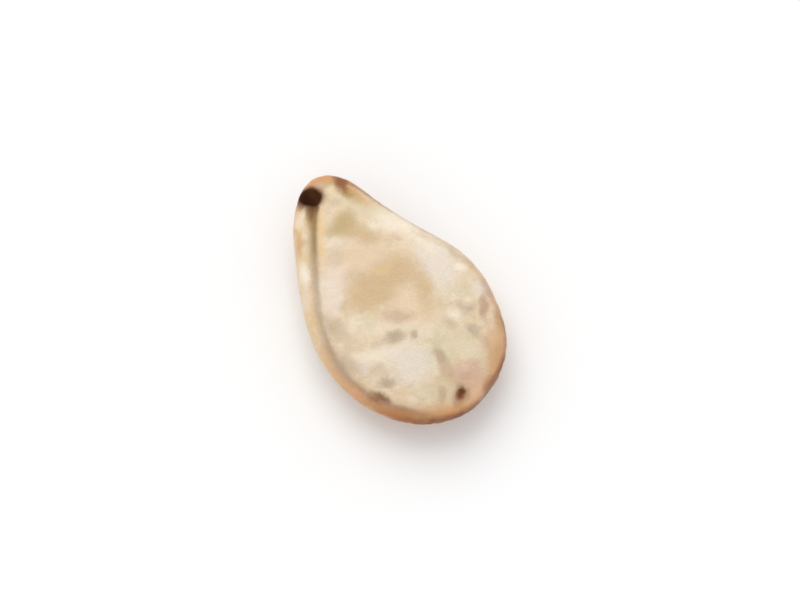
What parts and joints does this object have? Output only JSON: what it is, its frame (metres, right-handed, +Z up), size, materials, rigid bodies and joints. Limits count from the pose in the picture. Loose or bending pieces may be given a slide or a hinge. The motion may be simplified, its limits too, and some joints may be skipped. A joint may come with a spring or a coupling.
{
  "type": "sesame seed",
  "caption": "Flat teardrop-shaped sesame seed with a blunt rounded edge, a groove that follows the edge, and a dark scar at its pointed end.",
  "frame": {"origin": "on the surface that the seed rests on, under the middle of its bounding box", "axes": "+Y along the seed towards its pointed end, +Z up, away from the surface it rests on"},
  "size_m": [0.002, 0.003, 0.0009],
  "materials": {
    "seed_coat": "smooth, faintly waxy seed coat"
  },
  "bodies": {
    "root": {"seed": "seed_coat"}
  },
  "joints": []
}
